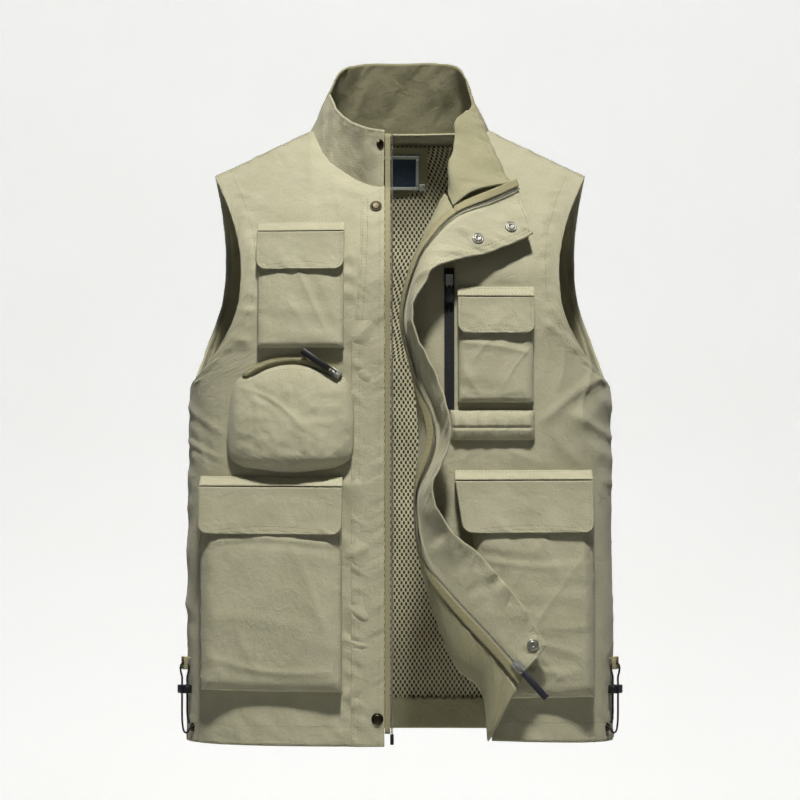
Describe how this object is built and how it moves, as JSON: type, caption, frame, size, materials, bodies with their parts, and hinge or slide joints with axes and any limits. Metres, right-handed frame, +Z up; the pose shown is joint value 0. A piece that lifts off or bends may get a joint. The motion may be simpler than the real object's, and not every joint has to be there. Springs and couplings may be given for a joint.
{
  "type": "fishing vest",
  "caption": "Sleeveless multi-pocket utility vest with a stand collar, open front zip, flap pockets, a zipped pouch, mesh lining and hem cords with locks.",
  "frame": {"origin": "middle of the neck opening at shoulder height, where the vest hangs on the wearer", "axes": "+Z up, -Y to the front, -X to the wearer's right"},
  "size_m": [0.496, 0.2806, 0.7496],
  "materials": {
    "shell": "woven cotton twill, matte",
    "facing": "woven cotton twill, matte",
    "mesh": "open diamond mesh, matte",
    "label": "woven label, plain",
    "tape": "woven zip tape",
    "black_tape": "woven zip tape, black",
    "zip_metal": "satin",
    "bronze": "dark antique",
    "socket_metal": "satin",
    "rubber": "matte",
    "cord": "round braided cord",
    "black_plastic": "matte"
  },
  "bodies": {
    "back": {"back_panel": "shell", "back_mesh_lining": "mesh", "neck_facing": "facing", "neck_label": "label", "back_hem_facing": "facing", "collar_back": "shell"},
    "right_front": {"right_front_panel": "shell", "right_front_lining": "mesh", "right_facing": "facing", "right_placket": "shell", "right_zip_tape": "tape", "right_zip_coil": "zip_metal", "right_zip_pin": "zip_metal", "right_collar": "shell", "right_snap_chest": "bronze", "right_snap_hem": "bronze", "right_snap_collar": "bronze", "right_chest_pocket": "shell", "right_chest_band": "shell", "right_cargo_pocket": "shell", "right_cargo_band": "shell", "right_pouch_zip_tape": "tape", "right_pouch_pocket": "shell", "right_side_tab": "shell", "right_hem_cord": "cord", "right_eyelet": "bronze"},
    "left_front": {"left_front_panel": "shell", "left_front_lining": "mesh", "left_placket": "shell", "left_facing": "facing", "left_storm_flap": "shell", "left_zip_tape": "tape", "left_zip_coil": "zip_metal", "left_collar": "shell", "left_snap_collar": "socket_metal", "left_snap_chest": "socket_metal", "left_snap_hem": "socket_metal", "left_chest_pocket": "shell", "left_chest_band": "shell", "left_cargo_pocket": "shell", "left_cargo_band": "shell", "left_roll_pocket": "shell", "left_chest_zip_tape": "black_tape", "left_side_tab": "shell", "left_hem_cord": "cord", "left_eyelet": "bronze"},
    "right_chest_flap": {"right_chest_flap": "shell"},
    "right_cargo_flap": {"right_cargo_flap": "shell"},
    "left_chest_flap": {"left_chest_flap": "shell"},
    "left_cargo_flap": {"left_cargo_flap": "shell"},
    "main_slider": {"main_slider": "zip_metal"},
    "main_puller": {"main_puller": "rubber"},
    "right_pouch_zip_slider": {"right_pouch_zip_slider": "zip_metal"},
    "right_pouch_zip_puller": {"right_pouch_zip_puller": "zip_metal"},
    "left_chest_zip_slider": {"left_chest_zip_slider": "zip_metal"},
    "left_chest_zip_puller": {"left_chest_zip_puller": "black_tape"},
    "right_cord_lock": {"right_cord_lock": "black_plastic"},
    "right_lock_button": {"right_lock_button": "black_plastic"},
    "left_cord_lock": {"left_cord_lock": "black_plastic"},
    "left_lock_button": {"left_lock_button": "black_plastic"}
  },
  "joints": [
    {"name": "right_front_swing", "type": "hinge", "parent": "back", "child": "right_front", "pos_m": [-0.236, 0, -0.485], "axis": [-0.0102, 0, -0.9999], "range_deg": [0, 15]},
    {"name": "left_front_swing", "type": "hinge", "parent": "back", "child": "left_front", "pos_m": [0.236, 0, -0.485], "axis": [-0.0102, 0, 0.9999], "range_deg": [0, 15]},
    {"name": "right_chest_flap_lift", "type": "hinge", "parent": "right_front", "child": "right_chest_flap", "pos_m": [-0.109, -0.10978, -0.118], "axis": [-0.9816, 0.191, 0], "range_deg": [0, 90]},
    {"name": "right_cargo_flap_lift", "type": "hinge", "parent": "right_front", "child": "right_cargo_flap", "pos_m": [-0.142, -0.12074, -0.398], "axis": [-0.9764, 0.2161, 0], "range_deg": [0, 90]},
    {"name": "left_chest_flap_lift", "type": "hinge", "parent": "left_front", "child": "left_chest_flap", "pos_m": [0.105, -0.12551, -0.19], "axis": [-0.9912, -0.1326, 0], "range_deg": [0, 90]},
    {"name": "left_cargo_flap_lift", "type": "hinge", "parent": "left_front", "child": "left_cargo_flap", "pos_m": [0.1425, -0.12183, -0.391], "axis": [-0.9865, -0.1639, 0], "range_deg": [0, 90]},
    {"name": "main_zip_run", "type": "slide", "parent": "left_front", "child": "main_slider", "axis": [-0.6705, 0.0026, 0.7419], "range_m": [0, 0.05]},
    {"name": "main_puller_turn", "type": "hinge", "parent": "main_slider", "child": "main_puller", "pos_m": [0.12807, -0.15446, -0.59191], "axis": [-0.735, 0.1337, -0.6648], "range_deg": [0, 150]},
    {"name": "left_chest_zip_run", "type": "slide", "parent": "left_front", "child": "left_chest_zip_slider", "axis": [0, 0, -1], "range_m": [0, 0.12]},
    {"name": "left_chest_zip_puller_turn", "type": "hinge", "parent": "left_chest_zip_slider", "child": "left_chest_zip_puller", "pos_m": [0.054, -0.12775, -0.171], "axis": [-1, 0, 0], "range_deg": [0, 110]},
    {"name": "right_pouch_zip_run", "type": "hinge", "parent": "right_front", "child": "right_pouch_zip_slider", "pos_m": [-0.118, -0.11812, -0.345], "axis": [-0.1581, -0.9874, 0], "range_deg": [0, 66]},
    {"name": "right_pouch_zip_puller_turn", "type": "hinge", "parent": "right_pouch_zip_slider", "child": "right_pouch_zip_puller", "pos_m": [-0.07103, -0.13142, -0.27312], "axis": [0.5522, -0.0884, 0.829], "range_deg": [0, 140]},
    {"name": "right_cord_lock_slide", "type": "slide", "parent": "right_front", "child": "right_cord_lock", "axis": [0, 0, 1], "range_m": [-0.012, 0.01]},
    {"name": "right_lock_button_press", "type": "slide", "parent": "right_cord_lock", "child": "right_lock_button", "axis": [-0.357, 0.9341, 0], "range_m": [0, 0.003], "stiffness_N_per_m": 400, "springref_m": -0.002},
    {"name": "left_cord_lock_slide", "type": "slide", "parent": "left_front", "child": "left_cord_lock", "axis": [0, 0, 1], "range_m": [-0.012, 0.01]},
    {"name": "left_lock_button_press", "type": "slide", "parent": "left_cord_lock", "child": "left_lock_button", "axis": [0.357, 0.9341, 0], "range_m": [0, 0.003], "stiffness_N_per_m": 400, "springref_m": -0.002}
  ]
}
